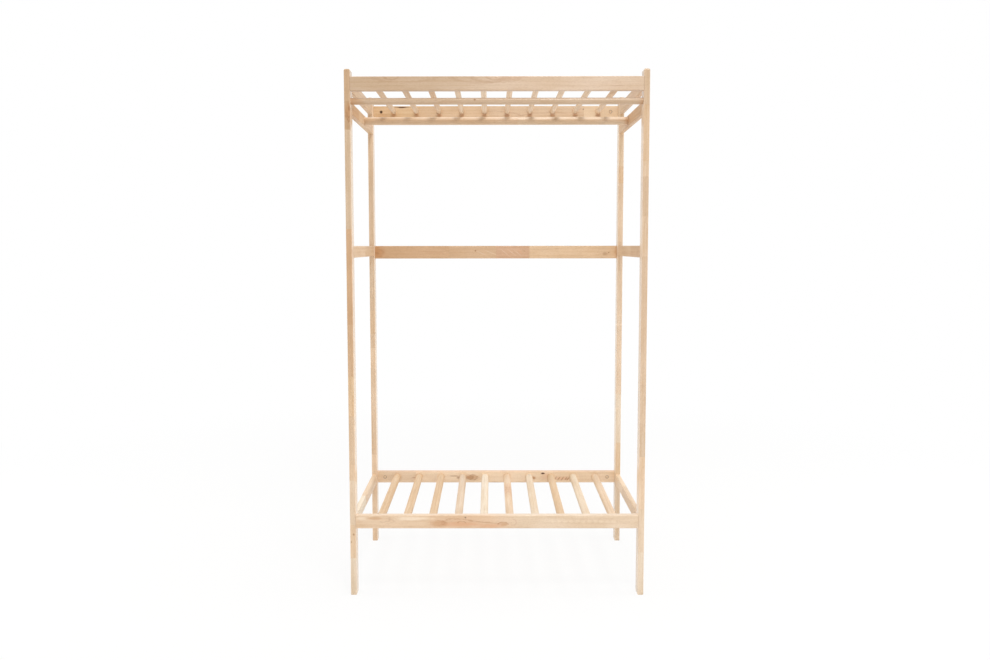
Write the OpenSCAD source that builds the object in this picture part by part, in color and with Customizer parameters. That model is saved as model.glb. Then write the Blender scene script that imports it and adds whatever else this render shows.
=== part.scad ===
// Open wardrobe frame of solid wood, with a clothes rail, a curtain rod and two shelves of round bars.
// Millimetres, +Z up, the front faces -Y. The origin is on the floor, under the middle of the frame.

/* [Overall] */
// Width over the posts
width = 1000; // [700:10:1400]
// Depth over the posts
depth = 530; // [440:10:640]
// Height of the posts
height = 1768; // [1500:4:2100]

/* [Posts] */
// Thickness of a post, from side to side
post_t = 20; // [17:0.5:30]
// Width of a post, from front to back
post_w = 40; // [34:1:60]
// Radius of the easing on a post's long edges
post_edge_r = 2.5; // [1:0.5:4]
// Radius of the rounding on a post's top
post_top_r = 6; // [3:0.5:8]
// Radius of the easing under a post's foot
foot_r = 1.5; // [0.5:0.5:3]

/* [Shelf rails] */
// Thickness of a front or back rail
rail_t = 18; // [16:0.5:20]
// Height of a shelf's front or back rail
rail_h = 46; // [42:1:70]
// Radius of the easing on a rail's long edges
rail_edge_r = 2; // [0.5:0.5:4]
// From the top of the posts down to the top front board
top_front_drop = 25; // [15:1:35]
// From the top of the posts down to the top back board
top_back_drop = 30; // [20:1:36]
// Free height under the bottom shelf
bottom_clearance = 233; // [60:1:500]

/* [Middle rails] */
// Height of the middle back rail
middle_back_h = 50; // [40:1:80]
// Top of the middle rails above the floor
middle_top_z = 1191; // [600:1:1250]

/* [Side rails] */
// Thickness of a side rail
side_rail_t = 16; // [14:0.5:18]
// Height of a side rail
side_rail_h = 40; // [36:1:46]
// From the top of the posts down to the top side rails
top_side_drop = 26; // [15:1:40]
// From the top of the posts down to the rod rails
rod_rail_drop = 101; // [90:1:200]

/* [Rods] */
// Diameter of the clothes rail
clothes_rail_d = 28; // [24:0.5:32]
// Distance from the front of the frame to the middle of the clothes rail
clothes_rail_back = 306; // [200:2:360]
// Depth of a clothes rail socket
clothes_socket = 8; // [5:0.5:10]
// Diameter of the curtain rod
curtain_rod_d = 22; // [16:0.5:26]
// From the top of the posts down to the middle of the curtain rod
curtain_rod_drop = 102; // [95:1:150]
// Depth of a curtain rod socket
curtain_socket = 5; // [3:0.5:5]

/* [Shelf bars] */
// Number of bars in a shelf
bar_count = 10; // [5:1:12]
// From the inner face of a post to the middle of the first bar
bar_margin = 79.5; // [60:0.5:120]
// Diameter of a top shelf bar
top_bar_d = 20; // [14:0.5:24]
// Diameter of a bottom shelf bar
bottom_bar_d = 28; // [20:0.5:32]
// Depth of a bar's bore in a rail
bar_bore = 10; // [6:0.5:12]

/* [Bolts and barrel nuts] */
// Diameter of a connector bolt
bolt_d = 6; // [5:0.5:7]
// Diameter of a bolt's head
bolt_head_d = 14; // [11:0.5:16]
// Thickness of a bolt's head
bolt_head_h = 2.5; // [2:0.5:4]
// How deep a bolt's head lies under the post's face
head_sink = 0.5; // [0.5:0.5:2]
// Width of the hex key's socket across its corners
hex_key_w = 4.6; // [3:0.1:6]
// Depth of the hex key's socket
hex_key_depth = 1.6; // [1:0.1:1.8]
// How far a bolt's end passes the middle of its barrel nut
bolt_past = 3; // [1:0.5:10]
// Distance from the end of a rail to its barrel nut
nut_inset = 30; // [20:1:40]
// Diameter of a barrel nut
nut_d = 10; // [9:0.5:12]
// Wood left behind the blind end of a barrel nut's hole
nut_skin = 3; // [2:0.5:4]
// How deep a barrel nut's slotted end lies under the rail's face
nut_sink = 0.5; // [0.2:0.1:1]
// Width of a barrel nut's slot
nut_slot_w = 1.6; // [1:0.1:2]
// Depth of a barrel nut's slot
nut_slot_depth = 1.5; // [1:0.1:2]

/* [Wooden dowels] */
// Diameter of a dowel
dowel_d = 8; // [6:0.5:9]
// From the bolt at a rail's end down to its dowel
rail_dowel_drop = 13; // [11:0.5:15]
// How far a front or back rail's dowel goes into the post
rail_dowel_in_post = 12; // [8:0.5:14]
// Distance between the two dowels at a side rail's end
side_dowel_pitch = 16; // [12:1:22]
// How far a side rail's dowel goes into the post
side_dowel_in_post = 16; // [10:0.5:16]
// How far a dowel goes into the end of any rail
dowel_in_rail = 18; // [12:1:22]

/* [Fits] */
// Clearance round a glued dowel, bar or rod
glue_gap = 0.1; // [0.05:0.05:0.2]
// Clearance round a bolt and its head
bolt_gap = 0.4; // [0.2:0.1:0.5]
// Space left at the blind end of a hole
end_gap = 0.5; // [0.3:0.1:1]

/* [Hidden] */
$fn = 48;
left = -1;
right = 1;
sides = [left, right];
cut = 1;
wood = [0.88, 0.76, 0.60];
pale_wood = [0.92, 0.82, 0.68];
steel = [0.72, 0.72, 0.70];

inner_x = width / 2 - post_t;
post_mid_x = width / 2 - post_t / 2;
side_rail_face_x = post_mid_x - side_rail_t / 2;
front_y = -depth / 2;
back_y = depth / 2;
front_rail_y = front_y + rail_t / 2;
back_rail_y = back_y - rail_t / 2;
side_rail_length = depth - 2 * post_w;

top_front_z = height - top_front_drop - rail_h / 2;
top_back_z = height - top_back_drop - rail_h / 2;
top_bar_z = (top_front_z + top_back_z) / 2;
top_side_z = height - top_side_drop - side_rail_h / 2;
rod_rail_z = height - rod_rail_drop - side_rail_h / 2;
middle_back_z = middle_top_z - middle_back_h / 2;
middle_side_z = middle_top_z - side_rail_h / 2;
bottom_rail_z = bottom_clearance + rail_h / 2;
bottom_side_z = bottom_clearance + side_rail_h / 2;
side_rail_levels = [top_side_z, rod_rail_z, middle_side_z, bottom_side_z];
front_rail_levels = [top_front_z, bottom_rail_z];
back_rail_levels = [top_back_z, middle_back_z, bottom_rail_z];

clothes_rail_y = front_y + clothes_rail_back;
clothes_rail_end = side_rail_face_x + clothes_socket;
curtain_rod_y = front_y + post_w / 2;
curtain_rod_z = height - curtain_rod_drop;
curtain_rod_end = inner_x + curtain_socket;
bar_pitch = 2 * (inner_x - bar_margin) / (bar_count - 1);

head_pocket = head_sink + bolt_head_h;
bolt_length = post_t - head_pocket + nut_inset + bolt_past;
nut_hole = rail_t - nut_skin;
nut_length = nut_hole - nut_sink - end_gap;

// Middle of a shelf bar, counted from the left
function bar_x(i) = bar_margin - inner_x + (i - 1) * bar_pitch;

// Middle of a post, from front to back
function post_y(front) = front ? front_y + post_w / 2 : back_y - post_w / 2;

// Middle of a front or back rail, from front to back
function rail_y(front) = front ? front_rail_y : back_rail_y;

// Which way a rail's barrel nuts open: the middle back rail's towards the back, the rest into the frame
function nut_facing(front, z) = front || z == middle_back_z ? 1 : -1;

// Rectangle with true round corners, its middle at the origin
module eased_rectangle(w, h, r) {
    square([w - 2 * r, h], center = true);
    square([w, h - 2 * r], center = true);
    for (x = sides, y = sides)
        translate([x * (w / 2 - r), y * (h / 2 - r)])
            circle(r);
}

// Outline of a post from the floor up, with a round top and an eased foot
module post_outline(w) {
    translate([-w / 2, foot_r])
        square([w, height - foot_r - post_top_r]);
    translate([-w / 2 + foot_r, 0])
        square([w - 2 * foot_r, height - post_top_r]);
    translate([-w / 2 + post_top_r, foot_r])
        square([w - 2 * post_top_r, height - foot_r]);
    for (x = sides) {
        translate([x * (w / 2 - post_top_r), height - post_top_r])
            circle(post_top_r);
        translate([x * (w / 2 - foot_r), foot_r])
            circle(foot_r);
    }
}

// Cylinder along X that starts at x on one side of the frame and runs towards the middle
module inward_cylinder(side, x, y, z, d, length) {
    translate([side * x, y, z])
        rotate([0, -side * 90, 0])
            cylinder(d = d, h = length);
}

// Cylinder along Y from one depth to another
module depth_cylinder(x, y_from, y_to, z, d) {
    translate([x, y_from, z])
        rotate([-90, 0, 0])
            cylinder(d = d, h = y_to - y_from);
}

// Post with its foot on the origin and no holes yet
module post_blank() {
    intersection() {
        linear_extrude(height)
            eased_rectangle(post_t, post_w, post_edge_r);
        rotate([90, 0, 0])
            translate([0, 0, -post_w])
                linear_extrude(2 * post_w)
                    post_outline(post_t);
        rotate([90, 0, 90])
            translate([0, 0, -post_t])
                linear_extrude(2 * post_t)
                    post_outline(post_w);
    }
}

// Holes in a post for the bolt and the dowel of one front or back rail
module rail_joint_in_post(side, y, z) {
    inward_cylinder(side, width / 2 + cut, y, z, bolt_d + 2 * bolt_gap, post_t + 2 * cut);
    inward_cylinder(side, width / 2 + cut, y, z, bolt_head_d + 2 * bolt_gap, head_pocket + cut);
    inward_cylinder(side, inner_x + rail_dowel_in_post + end_gap, y, z - rail_dowel_drop,
        dowel_d + 2 * glue_gap, rail_dowel_in_post + end_gap + cut);
}

// Dowels between the side rails and one post, or with a gap and a longer tip, the holes for them
module side_dowels(side, front, gap, tip) {
    seam = front ? front_y + post_w : back_y - post_w;
    towards_front = front ? side_dowel_in_post : dowel_in_rail;
    towards_back = front ? dowel_in_rail : side_dowel_in_post;
    for (z = side_rail_levels, up = sides)
        depth_cylinder(side * post_mid_x, seam - towards_front - tip, seam + towards_back + tip,
            z + up * side_dowel_pitch / 2, dowel_d + 2 * gap);
}

module post(side, front) {
    color(wood)
        difference() {
            translate([side * post_mid_x, post_y(front), 0])
                post_blank();
            for (z = front ? front_rail_levels : back_rail_levels)
                rail_joint_in_post(side, rail_y(front), z);
            side_dowels(side, front, glue_gap, end_gap);
            if (front)
                inward_cylinder(side, curtain_rod_end, curtain_rod_y, curtain_rod_z,
                    curtain_rod_d + 2 * glue_gap, curtain_socket + cut);
        }
}

module side_rail(side, z) {
    color(pale_wood)
        difference() {
            translate([side * post_mid_x, side_rail_length / 2, z])
                rotate([90, 0, 0])
                    linear_extrude(side_rail_length)
                        eased_rectangle(side_rail_t, side_rail_h, rail_edge_r);
            side_dowels(side, true, glue_gap, end_gap);
            side_dowels(side, false, glue_gap, end_gap);
        }
}

// Side rail with a socket for the end of the clothes rail
module rod_rail(side) {
    color(pale_wood)
        difference() {
            side_rail(side, rod_rail_z);
            inward_cylinder(side, clothes_rail_end, clothes_rail_y, rod_rail_z,
                clothes_rail_d + 2 * glue_gap, clothes_socket + cut);
        }
}

// Front or back rail with holes in its ends, and the holes for its barrel nuts
module cross_rail(front, z, h) {
    facing = nut_facing(front, z);
    nut_y = rail_y(front) + facing * rail_t / 2;
    color(wood)
        difference() {
            translate([-inner_x, rail_y(front), z])
                rotate([90, 0, 90])
                    linear_extrude(2 * inner_x)
                        eased_rectangle(rail_t, h, rail_edge_r);
            for (side = sides) {
                inward_cylinder(side, inner_x + cut, rail_y(front), z, bolt_d + 2 * bolt_gap,
                    nut_inset + bolt_past + end_gap + cut);
                inward_cylinder(side, inner_x + cut, rail_y(front), z - rail_dowel_drop,
                    dowel_d + 2 * glue_gap, dowel_in_rail + end_gap + cut);
                depth_cylinder(side * (inner_x - nut_inset), nut_y - (facing > 0 ? nut_hole : cut),
                    nut_y + (facing > 0 ? cut : nut_hole), z, nut_d + 2 * glue_gap);
            }
        }
}

// Bores in a shelf's front and back rails for the ends of its bars
module bar_bores(z, d) {
    for (i = [1 : bar_count]) {
        depth_cylinder(bar_x(i), front_y + rail_t - bar_bore - end_gap, front_y + rail_t + cut, z,
            d + 2 * glue_gap);
        depth_cylinder(bar_x(i), back_y - rail_t - cut, back_y - rail_t + bar_bore + end_gap, z,
            d + 2 * glue_gap);
    }
}

module shelf_rail(front, z, bars_z, bars_d) {
    color(wood)
        difference() {
            cross_rail(front, z, rail_h);
            bar_bores(bars_z, bars_d);
        }
}

module shelf_bar(i, z, d) {
    color(pale_wood)
        depth_cylinder(bar_x(i), front_y + rail_t - bar_bore, back_y - rail_t + bar_bore, z, d);
}

module clothes_rail() {
    color(pale_wood)
        inward_cylinder(right, clothes_rail_end - end_gap, clothes_rail_y, rod_rail_z, clothes_rail_d,
            2 * (clothes_rail_end - end_gap));
}

module curtain_rod() {
    color(wood)
        inward_cylinder(right, curtain_rod_end - end_gap, curtain_rod_y, curtain_rod_z, curtain_rod_d,
            2 * (curtain_rod_end - end_gap));
}

// Puts its children at each bolted joint, with +X from the outer face of the post to the middle
module at_rail_joints() {
    for (side = sides, front = [true, false])
        for (z = front ? front_rail_levels : back_rail_levels)
            translate([side * width / 2, rail_y(front), z])
                rotate([0, 0, side == right ? 180 : 0])
                    children();
}

module connector_bolts() {
    color(steel)
        at_rail_joints()
            rotate([0, 90, 0])
                difference() {
                    union() {
                        translate([0, 0, head_sink])
                            cylinder(d = bolt_head_d, h = bolt_head_h);
                        translate([0, 0, head_pocket])
                            cylinder(d = bolt_d, h = bolt_length);
                    }
                    translate([0, 0, head_sink - cut])
                        cylinder(d = hex_key_w, h = hex_key_depth + cut, $fn = 6);
                }
}

// Barrel nut with its slot in line with the rail, at the open end of its hole
module barrel_nut(side, front, z) {
    x = side * (inner_x - nut_inset);
    facing = nut_facing(front, z);
    slot_y = rail_y(front) + facing * (rail_t / 2 - nut_sink);
    blind_y = slot_y - facing * nut_length;
    difference() {
        depth_cylinder(x, min(slot_y, blind_y), max(slot_y, blind_y), z, nut_d);
        inward_cylinder(side, inner_x - nut_inset + nut_d, rail_y(front), z, bolt_d + 2 * glue_gap,
            2 * nut_d);
        translate([x, slot_y, z])
            cube([nut_d + cut, 2 * nut_slot_depth, nut_slot_w], center = true);
    }
}

module barrel_nuts() {
    color(steel)
        for (side = sides, front = [true, false])
            for (z = front ? front_rail_levels : back_rail_levels)
                barrel_nut(side, front, z);
}

module rail_dowels() {
    color(pale_wood)
        at_rail_joints()
            translate([post_t - rail_dowel_in_post, 0, -rail_dowel_drop])
                rotate([0, 90, 0])
                    cylinder(d = dowel_d, h = rail_dowel_in_post + dowel_in_rail);
}

module side_rail_dowels() {
    color(pale_wood)
        for (side = sides, front = [true, false])
            side_dowels(side, front, 0, 0);
}

post(left, true);  // front_left_post
post(right, true);  // front_right_post
post(left, false);  // rear_left_post
post(right, false);  // rear_right_post
side_rail(left, top_side_z);  // top_left_side_rail
side_rail(right, top_side_z);  // top_right_side_rail
rod_rail(left);  // left_rod_rail
rod_rail(right);  // right_rod_rail
side_rail(left, middle_side_z);  // middle_left_side_rail
side_rail(right, middle_side_z);  // middle_right_side_rail
side_rail(left, bottom_side_z);  // bottom_left_side_rail
side_rail(right, bottom_side_z);  // bottom_right_side_rail
shelf_rail(true, top_front_z, top_bar_z, top_bar_d);  // top_front_board
shelf_rail(false, top_back_z, top_bar_z, top_bar_d);  // top_back_board
cross_rail(false, middle_back_z, middle_back_h);  // middle_back_rail
shelf_rail(true, bottom_rail_z, bottom_rail_z, bottom_bar_d);  // bottom_front_rail
shelf_rail(false, bottom_rail_z, bottom_rail_z, bottom_bar_d);  // bottom_back_rail
curtain_rod();
clothes_rail();
for (i = [1 : bar_count]) {
    shelf_bar(i, top_bar_z, top_bar_d);
    shelf_bar(i, bottom_rail_z, bottom_bar_d);
}
connector_bolts();
barrel_nuts();
rail_dowels();
side_rail_dowels();
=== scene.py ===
import math

import bmesh
import bpy
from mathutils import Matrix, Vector


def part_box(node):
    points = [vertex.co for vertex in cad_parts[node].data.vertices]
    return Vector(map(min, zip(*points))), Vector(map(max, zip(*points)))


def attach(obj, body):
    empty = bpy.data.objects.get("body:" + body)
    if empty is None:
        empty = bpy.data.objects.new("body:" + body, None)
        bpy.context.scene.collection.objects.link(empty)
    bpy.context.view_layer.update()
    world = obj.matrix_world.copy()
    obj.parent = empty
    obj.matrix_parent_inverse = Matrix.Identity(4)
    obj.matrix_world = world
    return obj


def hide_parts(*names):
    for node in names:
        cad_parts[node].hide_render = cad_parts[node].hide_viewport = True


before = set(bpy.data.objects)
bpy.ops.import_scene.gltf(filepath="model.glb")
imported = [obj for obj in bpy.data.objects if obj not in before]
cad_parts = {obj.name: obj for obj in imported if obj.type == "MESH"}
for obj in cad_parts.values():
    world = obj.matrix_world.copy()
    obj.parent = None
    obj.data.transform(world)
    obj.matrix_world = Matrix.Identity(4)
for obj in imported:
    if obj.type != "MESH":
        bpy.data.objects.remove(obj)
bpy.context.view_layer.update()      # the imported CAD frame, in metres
print("frame loaded:", len(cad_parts), "nodes")

left, right = -1, 1
axisX, axisY, axisZ = 0, 1, 2


# camera at the photograph's viewing angle
cameraLook = {
    "lens": 28.1521685,
    "sensor": 36.0,
    "place": (-0.0218266, -2.8345633, 1.1906817),
    "yaw": -0.0024412,
    "pitch": -0.0710203,
    "roll": -0.0011812,
    "shiftX": 0.0064992,
    "shiftY": -0.0292929,
    "clipStart": 0.05,
    "clipEnd": 200.0,
}


def addCamera(look):
    yaw, pitch, roll = look["yaw"], look["pitch"], look["roll"]
    forward = Vector((math.sin(yaw) * math.cos(pitch), math.cos(yaw) * math.cos(pitch), math.sin(pitch)))
    level = Vector((math.cos(yaw), -math.sin(yaw), 0.0))
    upright = level.cross(forward)
    side = math.cos(roll) * level + math.sin(roll) * upright
    up = -math.sin(roll) * level + math.cos(roll) * upright
    data = bpy.data.cameras.new("photoCamera")
    data.sensor_width = look["sensor"]
    data.lens = look["lens"]
    data.shift_x, data.shift_y = look["shiftX"], look["shiftY"]
    data.clip_start, data.clip_end = look["clipStart"], look["clipEnd"]
    camera = bpy.data.objects.new("photoCamera", data)
    bpy.context.scene.collection.objects.link(camera)
    matrix = camera.matrix_world.copy()
    for row in range(3):
        matrix[row] = (side[row], up[row], -forward[row], look["place"][row])
    camera.matrix_world = matrix
    bpy.context.scene.camera = camera


addCamera(cameraLook)
bpy.context.scene.view_settings.view_transform = "Standard"


# node helpers, in which an input is either a socket to link or a plain value
def addNode(tree, kind, inputs=None, **settings):
    node = tree.nodes.new(kind)
    for key, value in settings.items():
        setattr(node, key, value)
    for key, value in (inputs or {}).items():
        if isinstance(value, bpy.types.NodeSocket):
            tree.links.new(value, node.inputs[key])
        else:
            node.inputs[key].default_value = value
    return node


def calc(tree, operation, *values):
    return addNode(tree, "ShaderNodeMath", dict(enumerate(values)), operation=operation).outputs[0]


def calcVector(tree, operation, *values):
    return addNode(tree, "ShaderNodeVectorMath", dict(enumerate(values)), operation=operation).outputs[0]


def ease(tree, value, low, high, toLow=0.0, toHigh=1.0):
    inputs = {"Value": value, "From Min": low, "From Max": high, "To Min": toLow, "To Max": toHigh}
    return addNode(tree, "ShaderNodeMapRange", inputs, interpolation_type="SMOOTHSTEP").outputs["Result"]


def blend(tree, mode, factor, first, second):      # a Mix node has its colours at inputs 6 and 7
    inputs = {0: factor, 6: first, 7: second}
    return addNode(tree, "ShaderNodeMix", inputs, data_type="RGBA", blend_type=mode).outputs[2]


def newMaterial(name):
    material = bpy.data.materials.new(name)
    material.use_nodes = True
    return material, material.node_tree


def screenColour(red, green, blue):      # screen values 0 to 255, as a colour socket takes them
    def linear(value):
        value /= 255
        return value / 12.92 if value <= 0.04045 else ((value + 0.055) / 1.055) ** 2.4
    return (linear(red), linear(green), linear(blue), 1.0)


# wood: blocks of differing tone, finger-jointed end to end, with rings, streaks, fibres, pores and marks
woodTones = {      # screen colours of plain wood, before its grain darkens it
    "chalk": (252, 242, 226),
    "ivory": (246, 233, 214),
    "milk": (248, 225, 198),
    "pearl": (240, 223, 200),
    "cream": (238, 214, 187),
    "husk": (233, 216, 195),
    "linen": (234, 210, 181),
    "shell": (231, 210, 186),
    "wheat": (229, 201, 167),
    "blush": (232, 206, 178),
    "biscuit": (227, 202, 175),
    "fawn": (225, 202, 180),
    "rosy": (231, 201, 172),
    "peach": (227, 197, 163),
    "corn": (224, 193, 155),
    "oat": (222, 196, 168),
    "straw": (221, 192, 160),
    "clay": (216, 192, 165),
    "tan": (214, 187, 158),
    "dusk": (209, 184, 158),
    "honey": (213, 180, 146),
    "salmon": (213, 175, 144),
    "rust": (211, 175, 139),
    "rye": (203, 171, 137),
}
woodLook = {
    "fingerLength": 0.010,
    "fingerPitch": 0.0038,
    "seamWidth": 0.00035,
    "seamDepth": 0.45,
    "stationGap": 0.001,      # where two stations of a long board are nearer than this, it is jointed
    "ringScale": 92.0,      # about 3.4 mm from ring to ring
    "ringWander": 15.0,
    "ringFrom": 0.35,
    "ringShare": 0.45,
    "figureScale": 24.0,      # broad bands where the rings are cut at a slant, about 13 mm apart
    "figureWander": 9.0,
    "figureFrom": 0.45,
    "figureShare": 0.55,
    "ringDetail": {"Detail": 2.0, "Detail Scale": 0.30, "Detail Roughness": 0.45},
    "ringStretch": 0.085,      # the rings change this much more slowly along the grain
    "pithSpread": 0.16,
    "pithShift": 9.0,
    "blockShift": (3.0, 0.4, 0.4),
    "chanceStart": 0.37,
    "knotSwell": 9.0,
    "knotFrom": 0.2,
    "knotTo": 4.0,
    "backFacing": 0.5,      # a face at the back, on which marks don't show
    "grainTint": screenColour(238, 230, 218),
    "poreColour": screenColour(158, 116, 78),
    "endTint": screenColour(228, 212, 192),
    "endDepth": 0.8,
    "endFrom": 0.75,
    "endTo": 0.95,
    "glossFrom": 0.3,
    "glossTo": 0.7,
    "smoother": 0.04,
    "rougher": 0.06,
    "streakBump": 0.4,
    "fibreBump": 0.6,
    "bumpStrength": 0.5,
    "bumpDepth": 0.0002,
    "ior": 1.5,
}
grainNoises = {      # how fine along and across the grain, detail, roughness
    "streaks": (5.0, 150.0, 4.0, 0.6),
    "fibres": (38.0, 900.0, 2.0, 0.5),
    "clouds": (7.0, 26.0, 2.0, 0.5),
    "pores": (170.0, 2400.0, 0.0, 0.5),
    "wobble": (60.0, 220.0, 2.0, 0.6),
}
grainShares = {      # where each noise begins and is full, and how much it then darkens the wood
    "streaks": (0.34, 0.72, 0.30),
    "fibres": (0.30, 0.75, 0.22),
    "clouds": (0.34, 0.68, 0.50),
    "pores": (0.62, 0.74, 0.35),
}
woodRoughness = {
    "post": 0.22,
    "rail": 0.30,
    "side": 0.48,
    "rod": 0.30,
    "bar": 0.46,
    "dowel": 0.60,
}
markTones = {
    "dark": (80, 34, 6),
    "brown": (158, 112, 72),
    "sepia": (180, 128, 90),
    "amber": (190, 140, 94),
    "red": (214, 164, 126),
    "pale": (248, 230, 208),
    "knot": (150, 98, 58),
}
markEdges = {      # where a mark of each shape starts to fade and ends, in shares of its size
    "dot": (0.6, 1.1),
    "spot": (0.35, 1.15),
    "line": (0.02, 0.24),
    "half": (-0.3, 0.3),
}
markWobble = 0.9


def drawMark(tree, along, off, wobble, mark):      # a point's share of the mark, and how far off it is
    shape, at, across, long, wide, slope, depth = mark[1:]
    run = calc(tree, "SUBTRACT", along, at)
    rise = calc(tree, "MULTIPLY_ADD", run, -slope, calc(tree, "SUBTRACT", off, across))
    lengthways = calc(tree, "MULTIPLY", run, 1 / long)
    sideways = calc(tree, "MULTIPLY", rise, 1 / wide)
    squares = calc(tree, "MULTIPLY_ADD", lengthways, lengthways, calc(tree, "MULTIPLY", sideways, sideways))
    away = calc(tree, "SQRT", squares)
    if shape not in ("dot", "ring"):
        away = calc(tree, "ADD", away, wobble)
    if shape in ("dot", "spot"):
        return ease(tree, away, *markEdges[shape], depth, 0.0), away
    fromLine = calc(tree, "ABSOLUTE", calc(tree, "SUBTRACT", away, 1.0))
    line = ease(tree, fromLine, *markEdges["line"], depth, 0.0)
    if shape == "ring":
        return line, away
    if shape == "bowl":      # the lower half of a ring
        drawn = ease(tree, sideways, *markEdges["half"], 1.0, 0.0)
    elif shape == "hump":      # the upper half
        drawn = ease(tree, sideways, *markEdges["half"])
    else:      # an arc, the half further along
        drawn = ease(tree, lengthways, *markEdges["half"])
    return calc(tree, "MULTIPLY", line, drawn), away


def blockTones(tree, along, zigzagOn, blocks, soft):      # tone, figure, block number and seam at each point
    look = woodLook
    zigzag = calc(tree, "PINGPONG", zigzagOn, look["fingerPitch"] / 2)
    reach = calc(tree, "MULTIPLY_ADD", zigzag, 2 * look["fingerLength"] / look["fingerPitch"], along)
    ends = [block[0] for block in blocks]
    if soft:      # one long board, whose tone drifts, with a joint where two stations meet
        joints = [end for end, after in zip(ends, ends[1:]) if after - end < look["stationGap"]]
    else:
        joints = ends[:-1]
    index, seam = 0.0, 0.0
    for end in joints:
        joint = end + look["fingerLength"] / 2
        index = calc(tree, "ADD", index, calc(tree, "GREATER_THAN", reach, joint))
        seam = calc(tree, "MAXIMUM", seam, calc(tree, "COMPARE", reach, joint, look["seamWidth"]))
    if soft:
        first, last = ends[0], ends[-1]
        stations = [(end - first) / (last - first) for end in ends]
        inputs = {"Value": calc(tree, "SUBTRACT", reach, look["fingerLength"] / 2),
                  "From Min": first, "From Max": last}
        spread = addNode(tree, "ShaderNodeMapRange", inputs).outputs["Result"]
    else:
        count = len(blocks)
        stations = [number / count for number in range(count)]
        spread = calc(tree, "MULTIPLY_ADD", index, 1 / count, 0.5 / count)
    ramp = addNode(tree, "ShaderNodeValToRGB", {"Fac": spread})
    ramp.color_ramp.interpolation = "LINEAR" if soft else "CONSTANT"
    stops = ramp.color_ramp.elements
    while len(stops) > 1:
        stops.remove(stops[-1])
    for number, (station, block) in enumerate(zip(stations, blocks)):
        stop = stops[0] if number == 0 else stops.new(station)
        stop.position = station
        stop.color = (*screenColour(*woodTones[block[1]])[:3], block[2])
    return ramp.outputs["Color"], ramp.outputs["Alpha"], index, seam


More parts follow.
